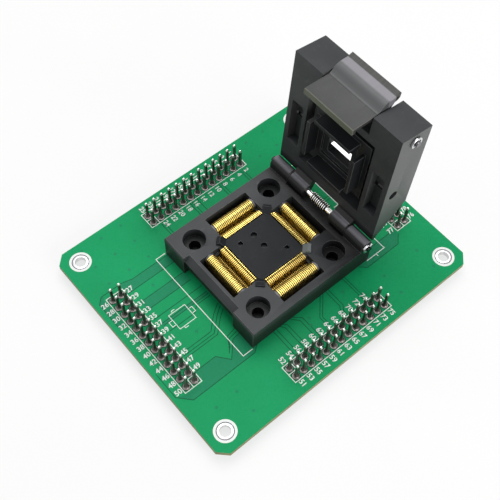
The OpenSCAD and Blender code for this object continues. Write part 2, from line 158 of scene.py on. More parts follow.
class Finish:
    # the nodes of one material, or of the world
    def __init__(self, name, owner=None):
        self.material = owner or bpy.data.materials.new(name)
        self.material.use_nodes = True
        self.tree = self.material.node_tree
        self.tree.nodes.clear()

    def add(self, kind, settings=None, inputs=None, output=0):
        # a node of that kind: its settings first, then the values or links of its sockets
        node = self.tree.nodes.new(kind)
        for key, value in (settings or {}).items():
            setattr(node, key, value)
        for key, value in (inputs or {}).items():
            if isinstance(value, Wire):
                self.tree.links.new(value.socket, node.inputs[key])
            else:
                node.inputs[key].default_value = value
        return Wire(self, node, output)

    def place(self):
        return self.add("ShaderNodeTexCoord").out("Object")

    def facing(self):
        return self.axis(self.add("ShaderNodeNewGeometry").out("Normal"))

    def axis(self, vector):
        parts = self.add("ShaderNodeSeparateXYZ", None, {0: vector})
        return parts.out("X"), parts.out("Y"), parts.out("Z")

    def stretched(self, vector, scale):
        return self.add("ShaderNodeMapping", None, {"Vector": vector, "Scale": scale})

    def noise(self, vector, scale, detail=3, rough=0.55):
        return self.add("ShaderNodeTexNoise", None,
                        {"Vector": vector, "Scale": scale, "Detail": detail, "Roughness": rough})

    def between(self, value, low, high, newLow=0.0, newHigh=1.0):
        ends = {"From Min": low, "From Max": high, "To Min": newLow, "To Max": newHigh}
        return self.add("ShaderNodeMapRange", {"clamp": True}, {"Value": value, **ends})

    def spread(self, noise, newLow=0.0, newHigh=1.0):
        # noise hardly leaves 0.3 to 0.7, so that range is stretched
        return self.between(noise, 0.3, 0.7, newLow, newHigh)

    def ramp(self, value, stops, base=0.0):
        # a mask: 0 at the first stop and 1 at the second, both in mm from the base
        return self.between(value, base + stops[0] * mm, base + stops[1] * mm)

    def fromHinge(self, vector):
        # distance from the hinge axis
        x, y, z = self.axis(vector)
        return ((x - float(hingeAxis[0])) ** 2 + (z - float(hingeAxis[2])) ** 2) ** 0.5

    def blend(self, factor, first, second):
        colours = {6: first if isinstance(first, Wire) else (*first, 1),
                   7: second if isinstance(second, Wire) else (*second, 1)}
        return self.add("ShaderNodeMix", {"data_type": "RGBA"}, {0: factor, **colours}, 2)

    def bump(self, height, strength, distance=0.00002):
        inputs = {"Height": height, "Strength": strength, "Distance": distance}
        return self.add("ShaderNodeBump", None, inputs)

    def surface(self, inputs):
        shader = self.add("ShaderNodeBsdfPrincipled", None, inputs)
        self.add("ShaderNodeOutputMaterial", None, {"Surface": shader})
        return self.material

    def metalSurface(self, tone, rough, normal):
        return self.surface({"Base Color": tone, "Metallic": 1.0, "Roughness": rough, "Normal": normal})


plasticLook = {"dark": (0.023, 0.026, 0.028), "pale": (0.039, 0.042, 0.044), "rough": 0.46, "grain": 5200}
# painted shade and light on the housing and the lid: rise is over the board, away is from the hinge axis
housingShades = {
    "well": {"rise": (6.6, 4.4), "share": 0.8, "tone": (0.004, 0.005, 0.005)},
    "hinge": {"away": (4.6, 3.6), "share": 0.85, "tone": (0.003, 0.003, 0.003)},
    "knuckle": {"away": (2.2, 2.0), "top": (1.5, 1.82), "share": (0.55, 1.0), "tone": (0.17, 0.17, 0.19)},
    "split": {"away": (2.4, 2.2), "across": 10.95, "half": (0.42, 0.25), "tone": (0.002, 0.002, 0.002)},
    "corner": {"toward": (11, 20), "rise": (7.9, 7.5), "share": 0.85, "tone": (0.004, 0.004, 0.005)},
    "lidSide": {"rise": (12, 26), "share": (0.7, 0.95), "tone": (0.112, 0.115, 0.113)},
}
# painted light: the corner guide nearest the lid's right side is paler, where the right lamp falls
litGuideTone = {"toward": (14.0, 14.3), "tone": (0.17, 0.19, 0.185)}


def housingTone(f, tone, at, cloud, grain, s):
    x, y, z = f.axis(at)
    away = f.fromHinge(at)
    # painted shade: nearly black low in the base and its pockets, and round the hinge
    well, hinge = s["well"], s["hinge"]
    tone = f.blend(f.ramp(z, well["rise"], boardTop) * well["share"], tone, well["tone"])
    tone = f.blend(f.ramp(away, hinge["away"]) * hinge["share"], tone, hinge["tone"])
    # painted highlight on top of the hinge knuckles, broken up by noise, and painted shade, black, in the splits
    # between them
    knuckle, split = s["knuckle"], s["split"]
    top = f.ramp(away, knuckle["away"]) * f.ramp(z, knuckle["top"], float(hingeAxis[2]))
    tone = f.blend(top * f.between(cloud, 0.25, 0.6, *knuckle["share"]), tone, knuckle["tone"])
    gap = f.ramp(abs(abs(y) - split["across"] * mm), split["half"])
    tone = f.blend(f.ramp(away, split["away"]) * gap, tone, split["tone"])
    # painted shadow of the open lid: darker toward the base's rear right corner
    corner, side = s["corner"], s["lidSide"]
    shaded = f.ramp(x - y * 0.5, corner["toward"]) * f.ramp(z, corner["rise"], boardTop)
    tone = f.blend(shaded * corner["share"], tone, corner["tone"])
    # painted light on the open lid's right side, paler toward its free end
    rubbedAndLit = f.between(f.facing()[1], -0.5, -0.9) * f.ramp(z, side["rise"], boardTop)
    return f.blend(rubbedAndLit * f.spread(grain, *side["share"]), tone, side["tone"])


def plastic(name, look, sheen=0.28, shades=None, guideLight=None):
    # moulded plastic: slow tone change, fine matt grain and a few rubbed spots; where given, painted shade and
    # light on the housing and the lid, and painted light on a corner guide
    f = Finish(name)
    at = f.place()
    cloud = f.noise(at, 90, 4)
    grain = f.noise(at, look["grain"], 2, 0.7)
    rubbedAndLit = f.between(f.noise(at, 420, 5, 0.65), 0.58, 0.74)
    tone = f.blend(f.spread(cloud), look["dark"], look["pale"])
    tone = f.blend(rubbedAndLit * 0.35, tone, tuple(1.5 * c for c in look["pale"]))
    if shades:
        tone = housingTone(f, tone, at, cloud, grain, shades)
    if guideLight:
        # painted light on the corner guide nearest the lid's right side
        x, y, z = f.axis(at)
        tone = f.blend(f.ramp(x - y, guideLight["toward"]), tone, guideLight["tone"])
    rough = f.between(grain, 0.2, 0.8, look["rough"] - 0.07, look["rough"] + 0.1) - rubbedAndLit * 0.08
    return f.surface({"Base Color": tone, "Roughness": rough, "Specular IOR Level": sheen,
                      "Normal": f.bump(grain + cloud * 0.5, 0.35, 0.00003)})


leverLook = {"dark": (0.017, 0.018, 0.018), "pale": (0.031, 0.032, 0.032), "rough": 0.45}
leverCrease = {"middle": 2.95, "half": (0.22, 0.08), "tone": (0.006, 0.006, 0.007)}
# painted light and shade in bands across the lever: where each starts and is full, from the latch axis, its share
# and its tone
leverBands = [
    ((-10.2, -10.45), 0.9, (0.105, 0.11, 0.075)),  # painted highlight: olive at the plate's edge
    ((-2.9, -2.7), 0.8, (0.105, 0.11, 0.112)),  # painted light: paler on the slope
    ((0.3, 0.9), 0.8, (0.255, 0.243, 0.27)),  # painted highlight: pale where the thumb rest faces up
    ((2.7, 2.95), 0.95, (0.012, 0.013, 0.007)),  # painted shade: dark olive on the strip behind that, which faces away from the light
]


def leverPlastic(name, look):
    # dark grey plastic with fine mould lines over the thumb rest, and painted shade in the crease in front of it
    f = Finish(name)
    at = f.place()
    lines = f.noise(f.stretched(at, (60, 3200, 60)), 1, 2, 0.6)
    cloud = f.noise(at, 240, 5, 0.6)
    grain = f.noise(at, 4200, 2, 0.7)
    worn = f.between(f.noise(at, 700, 4, 0.7), 0.6, 0.75)
    tone = f.blend(f.between(lines * 0.6 + cloud * 0.4, 0.35, 0.65), look["dark"], look["pale"])
    tone = f.blend(worn * 0.3, tone, (0.12, 0.115, 0.105))
    x, y, z = f.axis(at)
    out = x - float(latchAxis[0])
    # painted shade: a dark line in the crease
    crease = f.ramp(abs(out + leverCrease["middle"] * mm), leverCrease["half"])
    tone = f.blend(crease, tone, leverCrease["tone"])
    for stops, share, colour in leverBands:
        tone = f.blend(f.ramp(out, stops) * share, tone, colour)
    rough = f.spread(lines, look["rough"] - 0.08, look["rough"] + 0.1)
    return f.surface({"Base Color": tone, "Roughness": rough, "Specular IOR Level": 0.4,
                      "Normal": f.bump(lines + grain * 0.6, 0.3, 0.00003)})


maskLook = {"deep": (0.002, 0.2, 0.065), "base": (0.003, 0.268, 0.09), "light": (0.006, 0.318, 0.115)}
bareLook = {"deep": (0.004, 0.15, 0.06), "base": (0.007, 0.205, 0.088), "light": (0.014, 0.24, 0.11)}
gapLook = {"deep": (0.002, 0.06, 0.022), "base": (0.003, 0.085, 0.036), "light": (0.004, 0.105, 0.046)}
clothTurns = 9000  # the glass cloth's weave, in radians to a metre


def solderMask(name, look):
    # green lacquer over glass cloth: slow tone change, a faint weave and pin-prick gloss changes
    f = Finish(name)
    at = f.place()
    x, y, z = f.axis(at)
    weave = (x * clothTurns).sine() * (y * clothTurns).sine()
    slow = f.noise(at, 28, 3)
    fine = f.noise(at, 1500, 4, 0.65)
    tone = f.blend(f.between(slow, 0.35, 0.65), look["base"], look["light"])
    tone = f.blend(f.between(fine + weave * 0.08, 0.45, 0.75) * 0.35, tone, look["deep"])
    # painted light: the lacquer paler and yellower toward the latch side
    tone = f.blend(f.between(x, 0.01, -0.042) * 0.3, tone, tuple(1.25 * c + 0.012 for c in look["light"]))
    rough = f.spread(fine, 0.36, 0.5)
    return f.surface({"Base Color": tone, "Roughness": rough, "Specular IOR Level": 0.07,
                      "Normal": f.bump(fine * 0.6 + weave * 0.3, 0.12, 0.00003)})


def laminateEdge(name):
    # cut edge of the board: olive resin with pale glass layers
    f = Finish(name)
    at = f.place()
    layers = f.noise(f.stretched(at, (300, 300, 5200)), 1, 3, 0.6)
    tone = f.blend(f.between(layers, 0.35, 0.65), (0.105, 0.12, 0.04), (0.3, 0.27, 0.12))
    return f.surface({"Base Color": tone, "Roughness": f.spread(layers, 0.5, 0.75),
                      "Normal": f.bump(layers, 0.3, 0.00004)})


def whitePrint(name):
    # screened white ink, a little thin here and there
    f = Finish(name)
    at = f.place()
    thin = f.noise(at, 2600, 4, 0.7)
    tone = f.blend(f.between(thin, 0.62, 0.82) * 0.6, (0.83, 0.86, 0.83), (0.3, 0.58, 0.42))
    return f.surface({"Base Color": tone, "Roughness": f.spread(thin, 0.5, 0.62),
                      "Normal": f.bump(thin, 0.2)})


def metal(name, dark, bright, rough, stretch=(900, 900, 900), dent=0.15):
    # plated or drawn metal: streaks change its tone and gloss
    f = Finish(name)
    at = f.place()
    streak = f.noise(f.stretched(at, stretch), 1, 4, 0.6)
    spots = f.between(f.noise(at, 1900, 3, 0.6), 0.55, 0.8)
    tone = f.blend(f.spread(streak), dark, bright)
    tone = f.blend(spots * 0.4, tone, dark)
    return f.metalSurface(tone, f.spread(streak, rough * 0.8, rough * 1.3), f.bump(streak, dent))


# gold tones: low is painted shade down in the wells, and side is painted shade between the leads and in the step's
# shadow
goldLook = {"low": (0.15, 0.078, 0.012), "high": (0.86, 0.66, 0.19), "brown": (0.5, 0.34, 0.09),
            "side": (0.012, 0.007, 0.002), "ledge": (0.48, 0.32, 0.085), "rough": 0.3}
leadRow = {"pitch": 0.5, "rise": (4.0, 5.6), "ledge": 8.95, "ledgeHalf": (0.7, 0.6),
           "step": 8.22, "stepHalf": (0.22, 0.12)}


def goldPlate(name, look, row):
    # gold on the formed faces, with painted shade making it browner down in the wells and nearly black between the
    # leads, at their stamped edges
    f = Finish(name)
    at = f.place()
    x, y, z = f.axis(at)
    along, across = (y, x) if row == "y" else (x, y)
    streak = f.noise(f.stretched(at, (900, 900, 500)), 1, 3, 0.6)
    tone = f.blend(f.ramp(z, leadRow["rise"], boardTop), look["low"], look["high"])
    # each lead has its own shade
    leads = along / (leadRow["pitch"] * mm)
    shade = f.add("ShaderNodeTexWhiteNoise", {"noise_dimensions": "1D"}, {"W": leads.nearestWhole()})
    tone = f.blend(shade * 0.35, tone, look["brown"])
    tone = f.blend(f.between(streak, 0.5, 0.8) * 0.3, tone, look["brown"])
    # in the front and right rows, the ledge behind the tips, with the step's shadow between them
    ledge = f.ramp(abs(across + leadRow["ledge"] * mm), leadRow["ledgeHalf"])
    step = f.ramp(abs(across + leadRow["step"] * mm), leadRow["stepHalf"])
    tone = f.blend(ledge * 0.8, tone, look["ledge"])
    tone = f.blend(step * 0.85, tone, look["side"])
    # painted shade: nearly black between the leads
    fromEdge = abs(leads.fraction() - 0.5)
    tone = f.blend(f.between(fromEdge, 0.25, 0.19), tone, look["side"])
    rough = f.spread(streak, look["rough"] * 0.8, look["rough"] * 1.35)
    return f.metalSurface(tone, rough, f.bump(streak, 0.1, 0.00001))


housingPlastic = plastic("housing plastic", plasticLook, shades=housingShades)
# painted highlight: a much paler plastic on the eased edges of the housing, the lid and the plates
edgeHighlight = plastic("housing edge", {"dark": (0.09, 0.092, 0.095), "pale": (0.18, 0.183, 0.188),
                                    "rough": 0.4, "grain": 5200})
platePlastic = plastic("plate plastic", {"dark": (0.008, 0.009, 0.01), "pale": (0.015, 0.016, 0.018),
                                         "rough": 0.5, "grain": 4600}, 0.25)
seatPlastic = plastic("seat plastic", {"dark": (0.012, 0.013, 0.015), "pale": (0.02, 0.021, 0.024),
                                       "rough": 0.55, "grain": 5600}, 0.16, guideLight=litGuideTone)
ribPlastic = plastic("pale rib plastic", {"dark": (0.12, 0.118, 0.13), "pale": (0.21, 0.205, 0.225),
                                            "rough": 0.4, "grain": 4200})
stripPlastic = plastic("strip plastic", {"dark": (0.01, 0.01, 0.012), "pale": (0.02, 0.02, 0.023),
                                         "rough": 0.55, "grain": 4000}, 0.3)
leverGrey = leverPlastic("lever plastic", leverLook)
# painted highlight: a paler olive plastic on the lever's eased edges
leverEdge = leverPlastic("lever edge", {"dark": (0.085, 0.088, 0.066), "pale": (0.13, 0.132, 0.104),
                                        "rough": 0.4})
boardGreen = solderMask("solder mask", maskLook)
bareGreen = solderMask("mask over bare laminate", bareLook)
gapGreen = solderMask("mask in the copper gaps", gapLook)
boardEdge = laminateEdge("laminate edge")
inkWhite = whitePrint("white print")
tipBright = 0.9 * mm  # length of a pin that stays bright below its tip


def pinPlate(name):
    # tinned pins: the tin's own bright tone at the tip, and painted shade making them dark down the shaft
    f = Finish(name)
    at = f.place()
    x, y, z = f.axis(at)
    streak = f.noise(f.stretched(at, (3200, 3200, 260)), 1, 4, 0.6)
    shaded = f.blend(f.spread(streak), (0.045, 0.05, 0.04), (0.15, 0.16, 0.13))
    ownTin = f.blend(f.spread(streak), (0.62, 0.61, 0.57), (0.9, 0.89, 0.85))
    tone = f.blend(f.between(z, pinTop - tipBright, pinTop - tipBright / 2), shaded, ownTin)
    return f.metalSurface(tone, f.spread(streak, 0.28, 0.42), f.bump(streak, 0.15))


def rodSteel(name, low, high):
    # ground steel rod: bright between those distances in mm from its middle, and painted shade making it dark in
    # the plastic
    f = Finish(name)
    at = f.place()
    x, y, z = f.axis(at)
    lines = f.noise(f.stretched(at, (400, 4200, 400)), 1, 4, 0.6)
    bare = f.ramp(abs(y), (low - 0.15, low + 0.05)) * f.ramp(abs(y), (high, high - 0.08))
    shaded = f.blend(f.spread(lines), (0.015, 0.015, 0.016), (0.045, 0.045, 0.048))
    shine = f.blend(f.spread(lines), (0.86, 0.86, 0.84), (0.95, 0.95, 0.93))
    tone = f.blend(bare, shaded, shine)
    return f.metalSurface(tone, f.spread(lines, 0.1, 0.2), f.bump(lines, 0.05))


def coilSteel(name, dark, bright):
    # spring wire wound round the hinge axis: bright outside the coil, and painted shade making it dark inside it
    # and between the turns
    f = Finish(name)
    at = f.place()
    streak = f.noise(f.stretched(at, (3000, 3000, 3000)), 1, 4, 0.6)
    inside = f.ramp(f.fromHinge(at), (1.2, 1.02))
    turnSide = f.between(abs(f.facing()[1]), 0.6, 0.78)
    tone = f.blend(f.spread(streak), tuple(0.85 * c for c in bright), bright)
    tone = f.blend(inside, tone, dark)
    tone = f.blend(turnSide, tone, dark)
    return f.metalSurface(tone, f.spread(streak, 0.2, 0.32), f.bump(streak, 0.1))


brightSteel = metal("bright steel", (0.5, 0.5, 0.52), (0.86, 0.86, 0.88), 0.24, (400, 4200, 400))
plateRod = rodSteel("plate rod", -1, 3.75)
dullSteel = metal("dull steel", (0.1, 0.1, 0.11), (0.24, 0.24, 0.25), 0.3, (400, 4200, 400))
springSteel = metal("spring steel", (0.52, 0.51, 0.5), (0.84, 0.83, 0.81), 0.3, (3000, 3000, 3000))
hingeWire = coilSteel("hinge wire", (0.03, 0.03, 0.03), (0.88, 0.86, 0.84))
tinPlate = pinPlate("tin plate")
solderMetal = metal("solder", (0.08, 0.068, 0.066), (0.3, 0.262, 0.258), 0.34, (1500, 1500, 1500), 0.5)
hingeRod = rodSteel("hinge rod", 2.75, 6)
holePlate = metal("hole plating", (0.55, 0.55, 0.56), (0.86, 0.85, 0.86), 0.3, dent=0.2)
# painted shade: a dark ring at the edge of each hole's pad
grooveShade = metal("plating groove", (0.05, 0.05, 0.06), (0.16, 0.15, 0.17), 0.5, dent=0.2)
goldAcross = goldPlate("gold plate in rows across", goldLook, "y")
goldAlong = goldPlate("gold plate in rows along", goldLook, "x")
print("materials made")


class Solid:
    # gathers closed pieces made of rings of points; a ring is the section of a piece at one station
    def __init__(self):
        self.points, self.faces, self.marks, self.count = [], [], [], 0

    def rings(self, grid, loop=False, mark=0):
        # grid is stations by ring points by 3; each ring is closed, and the ends are capped unless it loops
        n, m = grid.shape[:2]
        i, j = np.meshgrid(np.arange(n if loop else n - 1), np.arange(m), indexing="ij")
        nextI, nextJ = (i + 1) % n, (j + 1) % m
        quads = np.stack([i * m + j, i * m + nextJ, nextI * m + nextJ, nextI * m + j], -1).reshape(-1, 4)
        faces = (quads + self.count).tolist()
        if not loop:
            faces.append((np.arange(m)[::-1] + self.count).tolist())
            faces.append((np.arange(m) + (n - 1) * m + self.count).tolist())
        self.points.append(grid.reshape(-1, 3))
        self.faces += faces
        self.marks += [mark] * len(faces)
        self.count += n * m
        return self

    def copies(self, grid, places, loop=False, mark=0):
        for place in places:
            self.rings(grid + np.asarray(place), loop, mark)
        return self

    def piece(self, name, body, slotName, materials, smoothAngle):
        mesh = bpy.data.meshes.new(name)
        mesh.from_pydata(np.concatenate(self.points).tolist(), [], self.faces)
        mesh.polygons.foreach_set("material_index", np.array(self.marks, dtype=np.int32))
        work = bmesh.new()
        work.from_mesh(mesh)
        bmesh.ops.recalc_face_normals(work, faces=work.faces)
        work.to_mesh(mesh)
        work.free()
        return place(name, mesh, body, slotName, materials, smoothAngle)


def place(name, mesh, body, slotName, materials, smoothAngle):
    thing = bpy.data.objects.new(name, mesh)
    for material in materials:
        mesh.materials.append(material)
    bpy.context.scene.collection.objects.link(thing)
    if smoothAngle:
        mesh.shade_smooth()
        mesh.set_sharp_from_angle(angle=math.radians(smoothAngle))
    if body:
        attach(thing, body)
    return thing


def ribbon(solid, path, width, low, high, loop=False, mark=0):
    # a flat mitred strip: a corner moves out along its bisector by half the width over the bisector's cosine
    path = np.array(path, float) * mm
    before = path - np.roll(path, 1, 0)
    after = np.roll(path, -1, 0) - path
    if not loop:
        before[0], after[-1] = after[0], before[-1]
    before /= np.linalg.norm(before, axis=1, keepdims=True)
    after /= np.linalg.norm(after, axis=1, keepdims=True)
    side = np.stack([-(before + after)[:, 1], (before + after)[:, 0]], -1)
    side /= np.linalg.norm(side, axis=1, keepdims=True)
    cosine = (side * np.stack([-after[:, 1], after[:, 0]], -1)).sum(1, keepdims=True)
    side = side / np.maximum(cosine, 0.35) * width * mm / 2
    corners = [(path + side, low), (path - side, low), (path - side, high), (path + side, high)]
    solid.rings(np.stack([np.c_[xy, np.full(len(xy), z)] for xy, z in corners], 1), loop, mark)


def patch(solid, outline, low, high):
    # a flat plate of any outline
    outline = np.array(outline, float) * mm
    solid.rings(np.stack([np.c_[outline, np.full(len(outline), z)] for z in (low, high)]))


def turned(profile, segments=24):
    # a turned piece about local Z: the profile of (radius, height) pairs swept round, one ring for each pair
    a = np.linspace(0, 2 * math.pi, segments, endpoint=False)
    radius, height = np.array(profile, float).T * mm
    return np.stack([radius[:, None] * np.cos(a), radius[:, None] * np.sin(a),
                     np.broadcast_to(height[:, None], (len(radius), segments))], -1)


def wireGrid(path, radius, sides=10):
    # a round wire: at each point of the path a circle across the path's direction, carried without twist
    path = np.asarray(path, float)
    heading = np.gradient(path, axis=0)
    heading /= np.linalg.norm(heading, axis=1, keepdims=True)
    first = np.cross(heading[0], (0.3, 0.9, 0.2))
    sideways = [first / np.linalg.norm(first)]
    for h in heading[1:]:
        s = sideways[-1] - h * sideways[-1].dot(h)
        sideways.append(s / np.linalg.norm(s))
    u = np.array(sideways)[:, None]
    v = np.cross(heading[:, None], u)
    a = np.linspace(0, 2 * math.pi, sides, endpoint=False)[None, :, None]
    return path[:, None] + radius * (np.cos(a) * u + np.sin(a) * v)


def rounded(node, body, slotName, materials, width, name, angle=32, cutSides=False):
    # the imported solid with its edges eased; the eased faces, and cut sides, take the second material
    mesh = nodes[node].data.copy()
    mesh.materials.clear()
    work = bmesh.new()
    work.from_mesh(mesh)
    bmesh.ops.remove_doubles(work, verts=work.verts, dist=1e-6)
    bmesh.ops.dissolve_limit(work, angle_limit=math.radians(0.4), verts=work.verts, edges=work.edges)
    work.normal_update()
    for face in work.faces:
        face.material_index = 1 if cutSides and abs(face.normal.z) < 0.5 else 0
    work.to_mesh(mesh)
    work.free()
    thing = place(name, mesh, body, slotName, materials, angle)
    ease = thing.modifiers.new("eased edges", "BEVEL")
    ease.width = width * mm
    ease.segments = 2
    ease.limit_method = "ANGLE"
    ease.angle_limit = math.radians(angle)
    ease.material = 1
    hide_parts(node)


# for each moulded part: its body, slot, plastic, edge plastic and how wide its edges are eased, in mm
easedParts = {
    "base_housing": ("board_and_base", "housing", housingPlastic, edgeHighlight, 0.1),
    "lid_frame": ("lid", "housing", housingPlastic, edgeHighlight, 0.14),
    "pressure_plate": ("pressure_plate", "guide", platePlastic, edgeHighlight, 0.1),
    "seating_plate": ("board_and_base", "guide", seatPlastic, edgeHighlight, 0.08),
    "latch_lever": ("latch_lever", "lever", leverGrey, leverEdge, 0.15),
}
for node, (body, slotName, face, edge, width) in easedParts.items():
    rounded(node, body, slotName, [face, edge], width, node + "_moulded")
rounded("circuit_board", "board_and_base", "board", [boardGreen, boardEdge], 0.06, "board_laminate",
        angle=60, cutSides=True)
print("moulded parts eased")

rib = {"middle": 12.6, "rise": 5.75, "inner": 1.4, "outer": 1.48, "row": 6.31, "end": 6.8,
       "from": 12, "to": 168}  # mm, and degrees


def addRibCaps(r):
    # a paler skin over the round shoulder at each end of a row: an arc of a flat ring, on all four sides
    a = np.radians(np.linspace(r["from"], r["to"], 25))
    section = [(r["inner"], r["row"]), (r["outer"], r["row"]), (r["outer"], r["end"]), (r["inner"], r["end"])]
    arcs = [(radius * np.cos(a) - r["middle"], np.full_like(a, y), radius * np.sin(a) + r["rise"])
            for radius, y in section]
    skin = np.stack([np.stack(arc, -1) for arc in arcs], 1) * mm
    caps = Solid()
    for quarter in range(4):
        c, t = math.cos(quarter * math.pi / 2), math.sin(quarter * math.pi / 2)
        for way in (1, -1):
            x, y, z = skin[..., 0], skin[..., 1] * way, skin[..., 2] + boardTop
            caps.rings(np.stack([c * x - t * y, t * x + c * y, z], -1))
    caps.piece("rib_caps", "board_and_base", "housing", [ribPlastic], 40)


addRibCaps(rib)

plainNodes = {"tail_guide_plate": platePlastic, "hinge_pin": hingeRod, "latch_pin": dullSteel}
for side in sides:
    plainNodes["header_strip_" + side] = stripPlastic
    plainNodes["contacts_" + side] = goldAcross if side in ("front", "rear") else goldAlong
for node, material in plainNodes.items():
    nodes[node].data.materials.clear()
    nodes[node].data.materials.append(material)


pins = {"pitch": 2.54, "columns": 13, "half": 0.32, "tip": 0.15, "tipLength": 0.45}
solderCone = {"pad": 0.95, "padRise": 0.035, "foot": 0.8, "footRise": 0.05, "neck": 0.42, "top": 0.2,
              "rise": 0.8, "hollow": 2.2, "steps": 6}


def pinPlaces(side):
    # the 26 pin centres of one header, from the middle of its strip
    low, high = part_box("header_strip_" + side)
    middle = (np.array(low) + np.array(high)) / 2
    run = (np.arange(pins["columns"]) - (pins["columns"] - 1) / 2) * pins["pitch"] * mm
    row = np.array((-0.5, 0.5)) * pins["pitch"] * mm
    along, across = [g.ravel() for g in np.meshgrid(run, row, indexing="ij")]
    x, y = (across, along) if side in ("front", "rear") else (along, across)
    return middle, np.stack([middle[0] + x, middle[1] + y], -1)


def addHeaders(p, c):
    low, high = pinLow / mm, pinTop / mm
    t = p["tipLength"]
    halves = np.array([p["tip"], p["half"], p["half"], p["tip"]]) * mm
    heights = np.array([low, low + t, high - t, high]) * mm
    square = np.array([(-1, -1), (1, -1), (1, 1), (-1, 1)], float)
    pinGrid = np.concatenate([square[None] * halves[:, None, None],
                              np.broadcast_to(heights[:, None, None], (4, 4, 1))], -1)
    # solder climbs the pin: the radius over the neck's falls as a power of the height that is left
    rise = np.linspace(0, 1, c["steps"])
    cone = [(c["neck"] + (c["foot"] - c["neck"]) * (1 - k) ** c["hollow"], k * c["rise"]) for k in rise]
    pad = [(c["pad"], 0.0), (c["pad"], c["padRise"]), (c["foot"], c["footRise"])]
    cone = pad + cone[1:] + [(c["top"], c["rise"])]
    coneGrid = turned(cone, 12) + np.array((0, 0, boardTop))
    for side in sides:
        middle, spots = pinPlaces(side)
        spots = np.c_[spots, np.zeros(len(spots))]
        row = Solid().copies(pinGrid, spots).piece("pins_" + side, "board_and_base", "pins", [tinPlate], 20)
        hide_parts("header_pins_" + side)
        solder = Solid().copies(coneGrid, spots)
        solder.piece("solder_" + side, "board_and_base", "pins", [solderMetal], 50)


addHeaders(pins, solderCone)
print("headers soldered")


sunk = 0.01  # how far flat things on the board reach into it
sunkTop = boardTop - sunk * mm
maskStep = {"band": 0.008, "gap": 0.014, "dot": 0.016}  # how far each stands over the board
gapWidth = 0.2
# paths of the gaps between the copper areas, from above, in mm
gapLines = [
    [(-11.7, -17.6), (-11.7, -26.4)], [(-10.7, -17.6), (-10.7, -26.4)],
    [(-9.6, -17.6), (-8.65, -18.7), (-8.65, -25.6)], [(-8.6, -17.6), (-7.65, -18.5), (-7.65, -25.6)],
    [(-6.2, -17.6), (-4.4, -19.7), (-4.4, -26.2)], [(-5.4, -17.6), (-3.4, -19.5), (-3.4, -26.2)],
    [(4.4, -17.6), (0.0, -22.3), (0.0, -25.4)], [(5.4, -17.6), (0.7, -22.6), (0.7, -25.4)],
    [(6.2, -17.6), (6.2, -23.2), (5.2, -24.4), (5.2, -26.2)],
    [(7.1, -17.6), (7.1, -23.4), (6.1, -24.6), (6.1, -26.2)],
    [(12.2, -17.6), (12.2, -25.6)], [(12.9, -17.6), (12.9, -25.6)],
    [(-41.0, 8.0), (-41.0, 16.4), (-39.4, 18.0), (-33.0, 18.0), (-30.0, 17.2), (-18.4, 17.2)],
    [(-33.4, 14.4), (-18.4, 14.4)], [(-32.4, 10.4), (-18.4, 10.4)], [(-32.4, 7.4), (-18.4, 7.4)],
    [(-32.8, 4.2), (-17.4, 4.2)], [(-32.3, 2.1), (-17.4, 2.1)], [(-31.8, 1.3), (-17.4, 1.3)],
    [(-31.7, -0.9), (-23.6, -0.9), (-21.9, 0.6), (-17.4, 0.6)],
    [(-33.1, -7.6), (-23.8, -7.6), (-20.4, -4.4), (-17.4, -2.4)],
    [(-33.2, -8.5), (-23.4, -8.5), (-19.9, -5.2), (-17.4, -3.4)],
    [(-33.2, -9.3), (-23.0, -9.3), (-19.4, -6.0), (-17.4, -4.6)],
    [(-41.4, -8.0), (-41.4, -15.8), (-38.4, -19.1), (-19.0, -19.1), (-17.0, -17.6)],
    [(-33.6, -13.6), (-27.2, -13.6), (-24.6, -16.8), (-20.8, -12.7), (-18.4, -12.5)],
    [(-24.0, -15.2), (-21.4, -12.0), (-18.4, -11.6)], [(-23.2, -14.4), (-21.4, -11.2), (-18.4, -10.7)],
]
gapLines += [[(x, 17.6), (x, 25.8 if abs(x) > 13 else 26.2)]
             for x in (-13.9, -13.1, -3.9, -3.1, -1.5, 6.2, 7.0, 13.8, 14.6)]
gapLines += [[(18.0, 17.6), (20.0, 19.6), (31.0, 19.6), (33.4, 17.6)],
             [(18.0, -17.9), (19.6, -19.5), (31.0, -19.5), (33.4, -17.2)]]
gapLines += [[(21.5, y), (33.2, y)] for y in (-15.6, -9.4, -8.6, 3.0, 3.8, 10.8, 11.6)]
# outlines of the areas without copper
bareBands = [
    [(-33.6, 14.4), (-33.6, 17.9), (-30.0, 17.2), (-18.4, 17.2), (-18.4, 14.4)],
    [(-32.4, 7.4), (-32.4, 10.4), (-18.4, 10.4), (-18.4, 7.4)],
    [(-32.3, 1.3), (-32.3, 2.1), (-17.4, 2.1), (-17.4, 1.3)],
    [(-39.2, 18.0), (-41.0, 16.4), (-41.0, 8.0), (-39.4, 8.0), (-39.4, 16.8), (-38.8, 17.4)],
    [(-38.4, -19.1), (-41.4, -15.8), (-39.2, -16.9), (-33.6, -16.9), (-33.6, -13.6), (-27.2, -13.6),
     (-24.6, -16.8), (-20.8, -12.7), (-18.4, -12.5), (-17.0, -17.6), (-19.0, -19.1)],
    [(21.5, -15.6), (33.2, -15.6), (33.2, -17.2), (31.0, -19.5), (19.6, -19.5), (18.0, -17.9), (21.5, -17.9)],
]
via = {"foot": 0.4, "pad": 0.42, "rim": 0.26, "hole": 0.2, "floor": 0.002, "middle": 0.05}
padGap = {"outer": 1.24, "inner": 0.9}  # the copper gap round each header pin's pad
viaSpots = [(x, y) for x in (-35.4, -29.05, -22.7, 21.4, 27.7, 34.1) for y in (32.5, 26.2, 20.0)]
viaSpots += [(x, y) for x in (-35.4, -29.05, 21.2, 33.4) for y in (-24.1, -30.4)]
viaSpots += [(-3.1, -22.4), (-2.2, -20.6), (-22.8, -13.9), (-26.5, -5.2), (9.6, -20.6), (-27.0, 12.3)]


